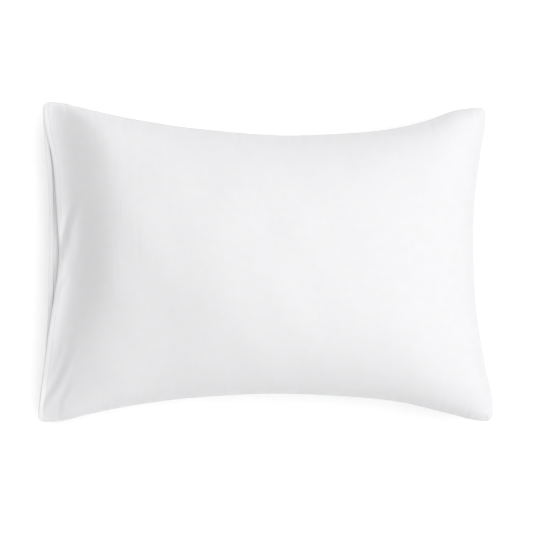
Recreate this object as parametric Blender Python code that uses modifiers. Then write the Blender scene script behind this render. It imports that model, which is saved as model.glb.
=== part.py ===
"""A white pillowcase on its pillow, lying on its back: two hemmed cotton panels, sewn along three
sides and open at the mouth, and the plump pillow that they fit.

Metres, +Z up. The mouth is at -X, the closed end at +X. The origin is on the floor, in the middle
of the case's outline.
"""
import math
from collections import namedtuple

import bmesh
import bpy
from mathutils import Vector

# ---------------------------------------------------------------- driving dimensions

# Corners of the filled case before they are rounded, seen from above.
Corner = namedtuple("Corner", "x y round")
MOUTH_LOW = Corner(x=-0.3519, y=-0.2480, round=0.009)
MOUTH_HIGH = Corner(x=-0.3444, y=0.2480, round=0.008)
CLOSED_LOW = Corner(x=0.3521, y=-0.2470, round=0.012)
CLOSED_HIGH = Corner(x=0.3406, y=0.2400, round=0.011)
CASE_LENGTH = CLOSED_LOW.x - MOUTH_LOW.x
CASE_WIDTH = MOUTH_HIGH.y - MOUTH_LOW.y

# How far the filling draws each side in from the straight line between its corners. The share
# runs from the mouth on the long seams, and from the low seam on the mouth and the closed side.
Draw = namedtuple("Draw", "share depth")
LOW_SEAM = (
    Draw(0.00, 0.0000),
    Draw(0.05, 0.0015),
    Draw(0.11, 0.0120),
    Draw(0.20, 0.0245),
    Draw(0.32, 0.0360),
    Draw(0.50, 0.0442),
    Draw(0.66, 0.0397),
    Draw(0.79, 0.0303),
    Draw(0.90, 0.0130),
    Draw(0.96, 0.0025),
    Draw(1.00, 0.0000),
)
HIGH_SEAM = (
    Draw(0.00, 0.0000),
    Draw(0.04, 0.0010),
    Draw(0.11, 0.0112),
    Draw(0.20, 0.0230),
    Draw(0.33, 0.0358),
    Draw(0.52, 0.0466),
    Draw(0.65, 0.0440),
    Draw(0.77, 0.0366),
    Draw(0.86, 0.0221),
    Draw(0.93, 0.0050),
    Draw(1.00, 0.0000),
)
MOUTH_SIDE = (
    Draw(0.00, 0.0000),
    Draw(0.06, 0.0010),
    Draw(0.18, 0.0080),
    Draw(0.30, 0.0120),
    Draw(0.45, 0.0135),
    Draw(0.62, 0.0126),
    Draw(0.78, 0.0092),
    Draw(0.90, 0.0023),
    Draw(1.00, 0.0000),
)
CLOSED_SIDE = (
    Draw(0.00, 0.0000),
    Draw(0.06, 0.0004),
    Draw(0.10, 0.0030),
    Draw(0.16, 0.0096),
    Draw(0.29, 0.0178),
    Draw(0.45, 0.0238),
    Draw(0.57, 0.0250),
    Draw(0.70, 0.0206),
    Draw(0.83, 0.0130),
    Draw(0.95, 0.0021),
    Draw(1.00, 0.0000),
)

# How far the front panel's hem has pulled back from the back panel's along the mouth.
PULLED_BACK = (
    Draw(0.00, 0.0000),
    Draw(0.08, 0.0010),
    Draw(0.20, 0.0015),
    Draw(0.26, 0.0026),
    Draw(0.32, 0.0052),
    Draw(0.38, 0.0092),
    Draw(0.44, 0.0134),
    Draw(0.51, 0.0163),
    Draw(0.57, 0.0159),
    Draw(0.64, 0.0136),
    Draw(0.72, 0.0108),
    Draw(0.80, 0.0096),
    Draw(0.86, 0.0078),
    Draw(0.91, 0.0038),
    Draw(0.96, 0.0008),
    Draw(1.00, 0.0000),
)

# Heights above the floor of the seam line, at the corners and half way along the sides.
MOUTH_CORNER_LEVEL = 0.036
CLOSED_CORNER_LEVEL = 0.046
MOUTH_LEVEL = 0.046
SEAM_LEVEL = 0.074
MOUTH_SETTLE = 0.50  # share of the length over which the mouth's level gives way to the seams'

# How quickly a long seam rises beside its corners, where 1 is the rise of a plain sine.
RISE_LOW_SEAM = 1.25
RISE_HIGH_SEAM = 2.1
RISE_CLOSED_END = 2.3

# Rise of the front face over the seam line, and fall of the back face before the floor stops it.
CROWN = 0.112
BELLY = 0.112
CROWN_AT = 0.53  # share of the length
FLOOR_ROUNDING = 0.014

# The round of the filling from an edge to the crown: a superellipse's power and root.
SWELL_POWER = 2.4
SWELL_ROOT = 2.0
FULLNESS_AT_MOUTH = 0.40  # how much fuller the round from seam to seam is at the mouth
FULLNESS_FADE = 0.30  # share of the length

# The climb from the mouth over the pillow's end: how far from the mouth it is, as a share of the
# length, how steep it is, and how soon the shoulder behind it is level. The share runs from the low
# seam.
Climb = namedtuple("Climb", "share reach steepness shoulder")
CLIMBS = (
    Climb(share=0.00, reach=0.053, steepness=1.8, shoulder=1.5),
    Climb(share=0.07, reach=0.073, steepness=1.7, shoulder=1.6),
    Climb(share=0.18, reach=0.063, steepness=1.7, shoulder=1.5),
    Climb(share=0.32, reach=0.084, steepness=2.4, shoulder=1.7),
    Climb(share=0.45, reach=0.104, steepness=3.1, shoulder=2.5),
    Climb(share=0.58, reach=0.107, steepness=3.0, shoulder=3.4),
    Climb(share=0.72, reach=0.099, steepness=2.4, shoulder=4.2),
    Climb(share=0.84, reach=0.096, steepness=2.4, shoulder=4.0),
    Climb(share=0.93, reach=0.088, steepness=2.3, shoulder=4.3),
    Climb(share=1.00, reach=0.051, steepness=3.0, shoulder=5.5),
)

# The mouth's hems part, most a little above the middle, and the front one curls down.
LIP_PARTING = 0.012
LIP_SAG = 0.010
LIP_PEAK = 1.45  # power that moves the widest place off the middle
LIP_FADE = 0.20  # share of the length
CURLED_EDGE = 0.009
CURLED_DROP = 0.006

# Cloth, hem and seam. Each panel ends in an upright band where the two are sewn together.
CLOTH = 0.0015
HEM = 0.0022
HEM_WIDTH = 0.009
SEAM_BAND = 0.003
PARTING = 0.0003
EDGE_LIFT = SEAM_BAND + PARTING / 2
HEM_CLEARANCE = 0.0008  # least gap between the two hems
HEM_SETTLE = 0.002

# The pillow, inside the case by the cloth and a little air.
PILLOW_START = 0.070  # shares of the length
PILLOW_ROUND_END = 0.040
PILLOW_INSET = 0.004
PILLOW_AIR = 0.0009
PILLOW_LIFT = EDGE_LIFT - CLOTH - PILLOW_AIR
PILLOW_FLOOR = CLOTH + PILLOW_AIR

# The main creases of the front panel, from a first to a second point seen from above. The cloth
# rises by a step across one, towards the closed end, or stands up along it as a ridge. A bow bends
# it sideways.
Crease = namedtuple("Crease", "x1 y1 x2 y2 bow width step ridge")
CREASES = (
    Crease(x1=-0.286, y1=0.116, x2=-0.321, y2=-0.006, bow=-0.001, width=0.0075, step=0.0028, ridge=0.0),
    Crease(x1=-0.292, y1=0.090, x2=-0.305, y2=-0.014, bow=0.002, width=0.0096, step=0.0, ridge=0.0032),
    Crease(x1=-0.293, y1=-0.106, x2=-0.349, y2=-0.235, bow=0.004, width=0.0075, step=0.0026, ridge=0.0),
    Crease(x1=-0.315, y1=0.010, x2=-0.342, y2=-0.150, bow=0.002, width=0.0130, step=0.0, ridge=0.0032),
)

# Rows of the lofted faces.
MOUTH_END = 0.110
MOUTH_ROWS = 18
BODY_ROWS = 22
CROSS_ROWS = 34
PILLOW_ROWS = 26
PILLOW_CROSS_ROWS = 20

# Colours, linear.
COTTON_COLOUR = (0.86, 0.865, 0.87, 1.0)
TICKING_COLOUR = (0.80, 0.80, 0.79, 1.0)
COTTON_ROUGHNESS = 0.85
TICKING_ROUGHNESS = 0.90


# ---------------------------------------------------------------- curves

def depth_at(table, share, column="depth"):
    """A column's value at a share of a side, on a smooth curve through its table's rows."""
    last = len(table) - 1
    row = 0
    while row < last - 1 and share > table[row + 1].share:
        row += 1
    start = table[row]
    end = table[row + 1]
    before = table[max(row - 1, 0)]
    after = table[min(row + 2, last)]
    span = end.share - start.share
    depths = [getattr(entry, column) for entry in (before, start, end, after)]
    slope_in = (depths[2] - depths[0]) / (end.share - before.share)
    slope_out = (depths[3] - depths[1]) / (after.share - start.share)
    t = min(max((share - start.share) / span, 0.0), 1.0)
    first = (1 + 2 * t) * (1 - t) ** 2 * depths[1] + t * (1 - t) ** 2 * span * slope_in
    second = t * t * (3 - 2 * t) * depths[2] - t * t * (1 - t) * span * slope_out
    return first + second


def larger(a, b, blend):
    """The larger of two values, with a rounded change from one to the other."""
    near = max(blend - abs(a - b), 0.0)
    return max(a, b) + (near * near / blend / 4 if near else 0.0)


def eased(share):
    """From 0 to 1 with a level start and end."""
    t = min(max(share, 0.0), 1.0)
    return t * t * (3 - 2 * t)


def swell(share, power=SWELL_POWER):
    """The round of the filling: steep at an edge, level at the crown."""
    inner = 1 - min(max(share, 0.0), 1.0)
    return (1 - inner ** power) ** (1 / SWELL_ROOT)


# ---------------------------------------------------------------- outline

def side(first, second, table, inward, share):
    """A point of a drawn-in side between two corners."""
    run = Vector((second.x - first.x, second.y - first.y))
    point = Vector((first.x, first.y)) + run * share
    across = Vector((-run.y, run.x)).normalized() * inward
    return point + across * depth_at(table, share)


def plan(u, v):
    """The place seen from above of the share u from the mouth and the share v from the low seam."""
    low = side(MOUTH_LOW, CLOSED_LOW, LOW_SEAM, 1, u)
    high = side(MOUTH_HIGH, CLOSED_HIGH, HIGH_SEAM, -1, u)
    mouth = side(MOUTH_LOW, MOUTH_HIGH, MOUTH_SIDE, -1, v)
    closed = side(CLOSED_LOW, CLOSED_HIGH, CLOSED_SIDE, 1, v)
    corners = Vector((0.0, 0.0))
    for corner, weight in (
        (MOUTH_LOW, (1 - u) * (1 - v)),
        (CLOSED_LOW, u * (1 - v)),
        (MOUTH_HIGH, (1 - u) * v),
        (CLOSED_HIGH, u * v),
    ):
        corners += Vector((corner.x, corner.y)) * weight
    return low * (1 - v) + high * v + mouth * (1 - u) + closed * u - corners


def rounded(u, v):
    """The shares of a point after the outline's corners are rounded off."""
    corner = nearest_corner(u, v)
    from_end = min(u, 1 - u) * CASE_LENGTH
    from_seam = min(v, 1 - v) * CASE_WIDTH
    if from_end >= corner.round or from_seam >= corner.round:
        return u, v
    p = 1 - from_end / corner.round
    q = 1 - from_seam / corner.round
    end_share = corner.round * (1 - p * math.sqrt(1 - q * q / 2)) / CASE_LENGTH
    seam_share = corner.round * (1 - q * math.sqrt(1 - p * p / 2)) / CASE_WIDTH
    return (end_share if u < 0.5 else 1 - end_share, seam_share if v < 0.5 else 1 - seam_share)


def nearest_corner(u, v):
    if u < 0.5:
        return MOUTH_LOW if v < 0.5 else MOUTH_HIGH
    return CLOSED_LOW if v < 0.5 else CLOSED_HIGH


# ---------------------------------------------------------------- heights

def seam_level(u, v):
    """Height of the seam line, and of the surface that parts the two faces inside it."""
    corner = MOUTH_CORNER_LEVEL + (CLOSED_CORNER_LEVEL - MOUTH_CORNER_LEVEL) * u
    middle = MOUTH_LEVEL + (SEAM_LEVEL - MOUTH_LEVEL) * eased(u / MOUTH_SETTLE)
    at_mouth = RISE_LOW_SEAM + (RISE_HIGH_SEAM - RISE_LOW_SEAM) * v
    lengthways = 1 - (1 - math.sin(math.pi * u)) ** (at_mouth if u < 0.5 else RISE_CLOSED_END)
    crossways = math.sin(math.pi * v)
    return corner + (middle - corner) * (1 - (1 - lengthways) * (1 - crossways))


def filling(u, v, inset):
    """Share of the crown at a point: a climb from the mouth over the pillow's end, then a round form."""
    end = 1 - inset / CASE_LENGTH
    seam = inset / CASE_WIDTH
    crossways = swell((min(v, 1 - v) - seam) / (0.5 - seam))
    crossways **= 1 - FULLNESS_AT_MOUTH * (1 - eased(u / FULLNESS_FADE))
    if u > CROWN_AT:
        return swell((end - u) / (end - CROWN_AT)) * crossways
    climb = 1 - math.exp(-(u / depth_at(CLIMBS, v, "reach")) ** depth_at(CLIMBS, v, "steepness"))
    return swell(u / CROWN_AT, depth_at(CLIMBS, v, "shoulder")) * climb * crossways


def lip(u, v):
    """Share of the mouth's parting: greatest a little above the middle, gone over the pillow."""
    return math.sin(math.pi * v ** LIP_PEAK) ** 2 * (1 - eased(u / LIP_FADE))


def crease_rise(x, y):
    """How high the creases lift the front panel at a point seen from above."""
    rise = 0.0
    for crease in CREASES:
        run = Vector((crease.x2 - crease.x1, crease.y2 - crease.y1))
        away = Vector((x - crease.x1, y - crease.y1))
        along = away.dot(run) / run.length_squared
        if 0 < along < 1:
            off = away.dot(Vector((-run.y, run.x)).normalized())
            widths = (off - crease.bow * math.sin(math.pi * along)) / crease.width
            shape = crease.step * widths * math.exp((1 - widths ** 2) / 2)
            shape += crease.ridge * math.exp(-widths ** 2)
            rise += shape * math.sin(math.pi * along)
    return rise


def back_height(u, v):
    """Height of the back panel's outer face, flat where it rests on the floor."""
    height = seam_level(u, v) - EDGE_LIFT - BELLY * filling(u, v, 0)
    return larger(0.0, height - LIP_SAG * lip(u, v), FLOOR_ROUNDING)


# ---------------------------------------------------------------- points of the pieces

def front_point(u, v):
    """A point of the front panel's outer face, whose rows start where its hem has pulled back to.

    It clears the back panel by both hems everywhere.
    """
    curled = max(1 - u * CASE_LENGTH / CURLED_EDGE, 0.0) ** 2 * lip(u, v)
    u += (1 - u) * depth_at(PULLED_BACK, v) / CASE_LENGTH
    place = plan(*rounded(u, v))
    height = seam_level(u, v) + EDGE_LIFT + CROWN * filling(u, v, 0)
    height += LIP_PARTING * lip(u, v) - CURLED_DROP * curled + crease_rise(place.x, place.y)
    height = larger(height, back_height(u, v) + 2 * HEM + HEM_CLEARANCE, HEM_SETTLE)
    return Vector((place.x, place.y, height))


def back_point(u, v):
    """A point of the back panel's outer face."""
    place = plan(*rounded(u, v))
    return Vector((place.x, place.y, back_height(u, v)))


def pillow_point(share_along, share_across, upper):
    """A point of the pillow's upper or lower face, just inside the two panels."""
    inset = PILLOW_INSET / CASE_WIDTH
    end = 1 - PILLOW_INSET / CASE_LENGTH
    u = PILLOW_START + (end - PILLOW_START) * share_along
    v = inset + (1 - 2 * inset) * share_across
    place = plan(*rounded(u, v))
    bulge = swell((u - PILLOW_START) / PILLOW_ROUND_END) * filling(u, v, PILLOW_INSET)
    if upper:
        height = seam_level(u, v) + PILLOW_LIFT + CROWN * bulge + crease_rise(place.x, place.y)
    else:
        height = larger(PILLOW_FLOOR, seam_level(u, v) - PILLOW_LIFT - BELLY * bulge, FLOOR_ROUNDING)
    return Vector((place.x, place.y, height))


# ---------------------------------------------------------------- rows

def closing_up(rows):
    """Shares from 0 to 1 that close up towards both ends."""
    return [(1 - math.cos(math.pi * row / rows)) / 2 for row in range(rows + 1)]


def rows_along():
    """Shares along the case: even rows over the mouth's end, then rows that close up at both ends."""
    mouth_share = MOUTH_END / CASE_LENGTH
    mouth = [mouth_share * row / MOUTH_ROWS for row in range(MOUTH_ROWS)]
    body = [mouth_share + (1 - mouth_share) * share for share in closing_up(BODY_ROWS)]
    return mouth + body


# ---------------------------------------------------------------- meshes

def lay_grid(bm, rows):
    """Quads between rows of points, facing up."""
    verts = [[bm.verts.new(point) for point in row] for row in rows]
    for near, far in zip(verts, verts[1:]):
        for index in range(len(near) - 1):
            bm.faces.new((near[index], far[index], far[index + 1], near[index + 1]))
    return verts


def place_object(name, bm, colour, roughness, parts):
    """A smooth-shaded object of its own material, made from a finished bmesh."""
    mesh = bpy.data.meshes.new(name)
    bm.normal_update()
    bm.to_mesh(mesh)
    bm.free()
    mesh.shade_smooth()
    piece = bpy.data.objects.new(name, mesh)
    parts.objects.link(piece)
    material = bpy.data.materials.new(name)
    material.use_nodes = True
    finish = material.node_tree.nodes["Principled BSDF"]
    finish.inputs["Base Color"].default_value = colour
    finish.inputs["Roughness"].default_value = roughness
    mesh.materials.append(material)
    return piece


def make_panel(name, point_at, band_drop, parts):
    """A sheet lofted over one face, with an upright seam band on three sides and a thicker hem."""
    bm = bmesh.new()
    shares = rows_along()
    rows = [[point_at(u, v) for v in closing_up(CROSS_ROWS)] for u in shares]
    verts = lay_grid(bm, rows)
    hem_verts = {
        vert for u, row in zip(shares, verts) if u * CASE_LENGTH <= HEM_WIDTH for vert in row
    }
    mouth_edge = set(verts[0])
    seam_edges = [edge for edge in bm.edges if edge.is_boundary and not mouth_edge.issuperset(edge.verts)]
    band = bmesh.ops.extrude_edge_only(bm, edges=seam_edges)
    band_verts = [item for item in band["geom"] if isinstance(item, bmesh.types.BMVert)]
    bmesh.ops.translate(bm, verts=band_verts, vec=(0, 0, band_drop))
    if band_drop > 0:
        bmesh.ops.reverse_faces(bm, faces=bm.faces)
    bm.verts.index_update()
    hem_indices = [vert.index for vert in hem_verts]
    panel = place_object(name, bm, COTTON_COLOUR, COTTON_ROUGHNESS, parts)
    panel.vertex_groups.new(name="hem").add(hem_indices, 1.0, "REPLACE")
    thick = panel.modifiers.new("cloth", "SOLIDIFY")
    thick.thickness = HEM
    thick.offset = -1
    thick.vertex_group = "hem"
    thick.thickness_vertex_group = CLOTH / HEM
    thick.use_even_offset = True
    thick.use_quality_normals = True
    return panel


def make_pillow(parts):
    """The filled pillow: an upper and a lower face, joined round their edge."""
    bm = bmesh.new()
    along = closing_up(PILLOW_ROWS)
    across = closing_up(PILLOW_CROSS_ROWS)
    faces = [
        lay_grid(bm, [[pillow_point(a, c, upper) for c in across] for a in along])
        for upper in (True, False)
    ]
    upper, lower = (edge_loop(verts) for verts in faces)
    lower_faces = {face for row in faces[1] for vert in row for face in vert.link_faces}
    bmesh.ops.reverse_faces(bm, faces=list(lower_faces))
    for index in range(len(upper)):
        after = (index + 1) % len(upper)
        bm.faces.new((upper[index], upper[after], lower[after], lower[index]))
    return place_object("pillow", bm, TICKING_COLOUR, TICKING_ROUGHNESS, parts)


def edge_loop(verts):
    """The vertices round a grid, in order, from its first corner."""
    near = verts[0][:-1]
    high = [row[-1] for row in verts[:-1]]
    far = verts[-1][:0:-1]
    low = [row[0] for row in verts[:0:-1]]
    return near + high + far + low


def main():
    for leftover in list(bpy.data.objects):
        bpy.data.objects.remove(leftover, do_unlink=True)
    parts = bpy.data.collections.new("pillowcase on a pillow")
    bpy.context.scene.collection.children.link(parts)
    make_panel("front_panel", front_point, -SEAM_BAND, parts)
    make_panel("back_panel", back_point, SEAM_BAND, parts)
    make_pillow(parts)


main()
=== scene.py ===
"""Looks of a plain white cotton pillowcase that lies on its back, filled by its pillow.

The case is two panels of fine plain-woven cotton, seamed along the long sides and the closed end and
hemmed at the open mouth. Each panel is a thin sheet laid over the pillow, with puckers along its seams,
and the front one has creases, gathers and soft lumps too. Sizes are in metres, in the frame of the
solid model: +X runs towards the closed end, +Y towards the upper long seam and +Z up through the crown.
"""
import math
import random
from collections import namedtuple

import bpy
import numpy as np
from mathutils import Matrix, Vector


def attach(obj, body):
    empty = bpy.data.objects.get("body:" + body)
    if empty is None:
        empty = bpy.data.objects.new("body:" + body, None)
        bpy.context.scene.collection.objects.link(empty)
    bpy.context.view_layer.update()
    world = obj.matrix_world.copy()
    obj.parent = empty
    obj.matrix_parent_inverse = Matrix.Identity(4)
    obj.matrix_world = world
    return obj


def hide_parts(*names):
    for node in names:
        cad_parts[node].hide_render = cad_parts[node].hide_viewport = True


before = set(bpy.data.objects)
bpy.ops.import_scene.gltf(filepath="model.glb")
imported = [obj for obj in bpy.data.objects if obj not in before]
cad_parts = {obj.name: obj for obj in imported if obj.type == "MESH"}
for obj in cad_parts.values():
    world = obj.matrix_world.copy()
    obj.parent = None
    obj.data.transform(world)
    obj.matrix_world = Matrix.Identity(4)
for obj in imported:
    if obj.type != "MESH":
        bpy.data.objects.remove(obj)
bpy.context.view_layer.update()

bl_info = {
    "name": "White Cotton Pillowcase",
    "version": (1, 0, 0),
    "blender": (4, 5, 0),
    "location": "View3D > Sidebar > Pillowcase",
    "description": "Makes a white cotton pillowcase on its pillow, in a pale studio",
    "category": "Object",
}

# ---------------------------------------------------------------- the filled case's own shape

# Corners of the filled case before they are rounded, seen from above.
Corner = namedtuple("Corner", "x y round")
MOUTH_LOW = Corner(x=-0.3519, y=-0.2480, round=0.009)
MOUTH_HIGH = Corner(x=-0.3444, y=0.2480, round=0.008)
CLOSED_LOW = Corner(x=0.3521, y=-0.2470, round=0.012)
CLOSED_HIGH = Corner(x=0.3406, y=0.2400, round=0.011)
CASE_LENGTH = CLOSED_LOW.x - MOUTH_LOW.x
CASE_WIDTH = MOUTH_HIGH.y - MOUTH_LOW.y

# How far the filling draws each side in from the straight line between its corners. The share
# runs from the mouth on the long seams, and from the low seam on the mouth and the closed side.
Draw = namedtuple("Draw", "share depth")
LOW_SEAM = (
    Draw(0.00, 0.0000),
    Draw(0.05, 0.0015),
    Draw(0.11, 0.0120),
    Draw(0.20, 0.0250),
    Draw(0.32, 0.0369),
    Draw(0.50, 0.0447),
    Draw(0.66, 0.0411),
    Draw(0.79, 0.0321),
    Draw(0.90, 0.0135),
    Draw(0.96, 0.0025),
    Draw(1.00, 0.0000),
)
HIGH_SEAM = (
    Draw(0.00, 0.0000),
    Draw(0.04, 0.0010),
    Draw(0.11, 0.0118),
    Draw(0.20, 0.0246),
    Draw(0.33, 0.0382),
    Draw(0.52, 0.0486),
    Draw(0.65, 0.0462),
    Draw(0.77, 0.0386),
    Draw(0.86, 0.0246),
    Draw(0.93, 0.0066),
    Draw(1.00, 0.0000),
)
MOUTH_SIDE = (
    Draw(0.00, 0.0000),
    Draw(0.06, 0.0010),
    Draw(0.18, 0.0080),
    Draw(0.30, 0.0120),
    Draw(0.45, 0.0135),
    Draw(0.62, 0.0126),
    Draw(0.78, 0.0092),
    Draw(0.90, 0.0023),
    Draw(1.00, 0.0000),
)
CLOSED_SIDE = (
    Draw(0.00, 0.0000),
    Draw(0.06, 0.0003),
    Draw(0.10, 0.0024),
    Draw(0.16, 0.0094),
    Draw(0.29, 0.0193),
    Draw(0.36, 0.0233),
    Draw(0.45, 0.0251),
    Draw(0.57, 0.0255),
    Draw(0.70, 0.0218),
    Draw(0.83, 0.0120),
    Draw(0.95, 0.0012),
    Draw(1.00, 0.0000),
)

# How far the front panel's hem has pulled back from the back panel's along the mouth.
PULLED_BACK = (
    Draw(0.00, 0.0000),
    Draw(0.08, 0.0010),
    Draw(0.20, 0.0015),
    Draw(0.26, 0.0026),
    Draw(0.32, 0.0052),
    Draw(0.38, 0.0092),
    Draw(0.44, 0.0134),
    Draw(0.51, 0.0163),
    Draw(0.57, 0.0159),
    Draw(0.64, 0.0136),
    Draw(0.72, 0.0116),
    Draw(0.80, 0.0101),
    Draw(0.86, 0.0078),
    Draw(0.91, 0.0038),
    Draw(0.96, 0.0008),
    Draw(1.00, 0.0000),
)

# The climb from the mouth over the pillow's end: how far from the mouth it is, as a share of the
# length, how steep it is, and how soon the shoulder behind it is level. The share runs from the low
# seam.
Climb = namedtuple("Climb", "share reach steepness shoulder")
CLIMBS = (
    Climb(share=0.00, reach=0.053, steepness=1.45, shoulder=1.5),
    Climb(share=0.07, reach=0.073, steepness=1.35, shoulder=1.6),
    Climb(share=0.18, reach=0.063, steepness=1.55, shoulder=1.5),
    Climb(share=0.32, reach=0.084, steepness=2.4, shoulder=1.7),
    Climb(share=0.45, reach=0.104, steepness=3.1, shoulder=2.5),
    Climb(share=0.58, reach=0.107, steepness=3.0, shoulder=3.4),
    Climb(share=0.72, reach=0.099, steepness=2.4, shoulder=4.2),
    Climb(share=0.84, reach=0.096, steepness=2.4, shoulder=4.0),
    Climb(share=0.93, reach=0.088, steepness=2.3, shoulder=4.3),
    Climb(share=1.00, reach=0.072, steepness=2.4, shoulder=4.6),
)

# Heights above the floor of the seam line, at the corners and half way along the sides.
MOUTH_CORNER_LEVEL = 0.036
CLOSED_CORNER_LEVEL = 0.046
MOUTH_LEVEL = 0.046
SEAM_LEVEL = 0.074
MOUTH_SETTLE = 0.50  # share of the length over which the mouth's level gives way to the seams'

# How quickly the seam line rises beside the corners, where 1 is the rise of a plain sine: at the
# mouth on each long seam, and at the closed end.
RISE_LOW_SEAM = 1.25
RISE_HIGH_SEAM = 2.1
RISE_CLOSED_END = 2.3

# The round of the filling from an edge to the crown.
BELLY = 0.112
CROWN_AT = 0.53  # share of the length
FLOOR_ROUNDING = 0.014
SWELL_POWER = 2.4
SWELL_ROOT = 2.0
FULLNESS_AT_MOUTH = 0.40  # how much fuller the round from seam to seam is at the mouth
FULLNESS_FADE = 0.30  # share of the length
KNIFE_EDGE = 0.004  # reach of the crisp seam into the round

# The mouth's hems part, most a little above the middle, and the front one curls down.
LIP_PARTING = 0.008
LIP_SAG = 0.005
LIP_PEAK = 1.30  # power that moves the widest place off the middle
LIP_FADE = 0.20  # share of the length
CURLED_EDGE = 0.009
CURLED_DROP = 0.003

# Both hems and the air between them, which the front face keeps over the back one.
HEMS_THICK = 0.0034
HEMS_FADE = 0.006
HEMS_SETTLE = 0.0012

# The seam: each panel folds inwards on a tight round, and the allowances behind it print through.
SEAM_FOLD = 0.0016
SEAM_LIFT = 0.0010
SEAM_PARTING = 0.0002
ALLOWANCE_WIDTH = 0.0075
ALLOWANCE_RISE = 0.00035
ALLOWANCE_FADE = (0.8, 0.35)  # where the print starts to fade and over how much, in its widths

# The hem: the layers that it adds, its line of stitches and the groove that they press in.
HEM_EXTRA_LAYERS = 1.8
HEM_STEP = 0.0008  # distance over which the added layers end
STITCHES_INSET = 0.0012  # from the hem's inner end
GROOVE_DEPTH = 0.00050
GROOVE_WIDTH = 0.0009

# The slight roping of the hem beside its stitches: two ripples, of which the first one slants.
ROPING_DEPTH = 0.00010
ROPING_PITCHES = (0.0105, 0.0171)
ROPING_SECOND = 0.6  # height of the second ripple against the first
ROPING_SLANT = 420.0  # turn of the first ripple, in radians for each metre from the edge
ROPING_MIDDLE = 0.55  # shares of the way from the edge to the stitches
ROPING_SPREAD = 0.45

# One stitch, as rings of its thread from either end to the middle. A ring has its share of the way,
# and its height over the cloth and its width in radii of the thread.
Ring = namedtuple("Ring", "way height width")
STITCH_RINGS = (
    Ring(way=0.00, height=-1.20, width=0.35),
    Ring(way=0.35, height=0.55, width=0.95),
    Ring(way=1.00, height=0.80, width=1.00),
)
STITCH_DIPS = (0.14, 0.20)  # shares of a half stitch that are hidden at its start and at its end
STITCH_SIDES = 6
STITCH_PROBE = 0.0006  # distance to the places that give the slope of the cloth under it

# The pillow, inside the case with a little air.
PILLOW_START = 0.070  # shares of the length
PILLOW_ROUND_END = 0.040
PILLOW_INSET = 0.004
PILLOW_AIR = 0.0030
PILLOW_AIR_POWER = 0.3  # the less it is, the sooner the air opens from the pillow's edge

# Distances between the rows of a panel's mesh, closing up at the edges and round the mouth.
Spacing = namedtuple("Spacing", "share step")
ROWS_ALONG = (
    Spacing(0.000, 0.0005),
    Spacing(0.012, 0.0006),
    Spacing(0.022, 0.0012),
    Spacing(0.120, 0.0017),
    Spacing(0.220, 0.0026),
    Spacing(0.900, 0.0027),
    Spacing(0.980, 0.0014),
    Spacing(1.000, 0.0006),
)
ROWS_ACROSS = (
    Spacing(0.000, 0.0005),
    Spacing(0.014, 0.0010),
    Spacing(0.050, 0.0020),
    Spacing(0.120, 0.0040),
    Spacing(0.500, 0.0048),
    Spacing(0.880, 0.0040),
    Spacing(0.950, 0.0020),
    Spacing(0.986, 0.0010),
    Spacing(1.000, 0.0005),
)
PILLOW_ROWS = 120
PILLOW_CROSS_ROWS = 90
RIM_ROWS = 4  # round the edge of the cloth at the mouth
SPREAD_STEPS = 4000  # fine steps over which the spacings are added up

# ---------------------------------------------------------------- creases of the front panel

# Each crease is a line of points seen from above. A step rises across it towards the closed end and
# a ridge stands out.
Fold = namedtuple("Fold", "kind width depth points")
FOLDS = (
    Fold("step", 0.0062, 0.0040, (
        (-0.2881, 0.1112), (-0.2912, 0.0958), (-0.2943, 0.0803), (-0.2990, 0.0711),
        (-0.3021, 0.0618), (-0.3051, 0.0525), (-0.3067, 0.0433), (-0.3082, 0.0340),
        (-0.3113, 0.0247), (-0.3144, 0.0155), (-0.3190, 0.0000), (-0.3237, -0.0155),
    )),
    Fold("step", 0.0048, 0.0005, (
        (-0.2912, 0.1390), (-0.2943, 0.1267), (-0.2974, 0.1174), (-0.2990, 0.1082),
        (-0.3021, 0.0958),
    )),
    Fold("step", 0.0056, 0.0022, (
        (-0.2928, -0.1112), (-0.2974, -0.1236), (-0.2990, -0.1375), (-0.3051, -0.1514),
        (-0.3082, -0.1607), (-0.3129, -0.1700), (-0.3175, -0.1792), (-0.3221, -0.1885),
        (-0.3283, -0.1978), (-0.3345, -0.2070), (-0.3407, -0.2163), (-0.3453, -0.2256),
        (-0.3500, -0.2350),
    )),
    Fold("step", 0.0028, 0.0005, (
        (-0.3160, -0.1205), (-0.3175, -0.1329), (-0.3190, -0.1421), (-0.3237, -0.1514),
        (-0.3252, -0.1607), (-0.3299, -0.1730),
    )),
    Fold("step", 0.0042, 0.0008, (
        (-0.2974, -0.1792), (-0.3005, -0.1885), (-0.3051, -0.1978), (-0.3098, -0.2070),
        (-0.3144, -0.2163), (-0.3144, -0.2256), (-0.3160, -0.2379),
    )),
    Fold("step", 0.0030, 0.0007, (
        (-0.3051, -0.0185), (-0.3082, -0.0247), (-0.3113, -0.0309), (-0.3175, -0.0402),
        (-0.3221, -0.0556),
    )),
    Fold("ridge", 0.0140, 0.0032, (
        (-0.3160, 0.0000), (-0.3175, -0.0124), (-0.3198, -0.0494), (-0.3244, -0.0680),
        (-0.3275, -0.0865), (-0.3337, -0.1051), (-0.3368, -0.1236), (-0.3407, -0.1421),
    )),
    Fold("ridge", 0.0096, 0.0042, (
        (-0.2928, 0.0711), (-0.2928, 0.0525), (-0.2943, 0.0402), (-0.2974, 0.0247),
        (-0.3021, 0.0093), (-0.3082, -0.0093),
    )),
)

FOLD_PIECES = 6  # straight pieces between two points of a crease
FOLD_TAPER = 0.8  # the less it is, the sooner a crease is deep
FOLD_STOP = 8  # the more it is, the sooner a crease dies out past its ends
FOLD_START = 0.012  # distance from a seam over which the creases set in

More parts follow.
